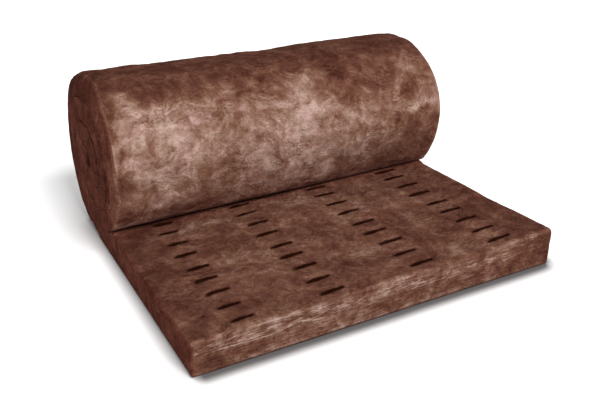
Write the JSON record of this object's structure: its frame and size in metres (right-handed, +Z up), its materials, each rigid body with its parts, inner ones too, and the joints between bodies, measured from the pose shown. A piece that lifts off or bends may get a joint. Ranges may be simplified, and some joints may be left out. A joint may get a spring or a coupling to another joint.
{
  "type": "insulation roll",
  "caption": "Mineral wool insulation mat in a thick roll, with its free end unrolled flat on the floor and rows of short slits in the flat part.",
  "frame": {"origin": "bottom centre of the whole piece, on the floor, halfway along the roll and halfway between the cut edge and the back of the roll", "axes": "+X along the roll, which is across the mat, +Y from the cut edge towards the roll, +Z up"},
  "size_m": [1.2, 1.1684, 0.5663],
  "materials": {
    "mineral_wool": "matted mineral wool fibre, brown with pinkish light wisps"
  },
  "bodies": {
    "root": {"insulation_mat": "mineral_wool"}
  },
  "joints": []
}
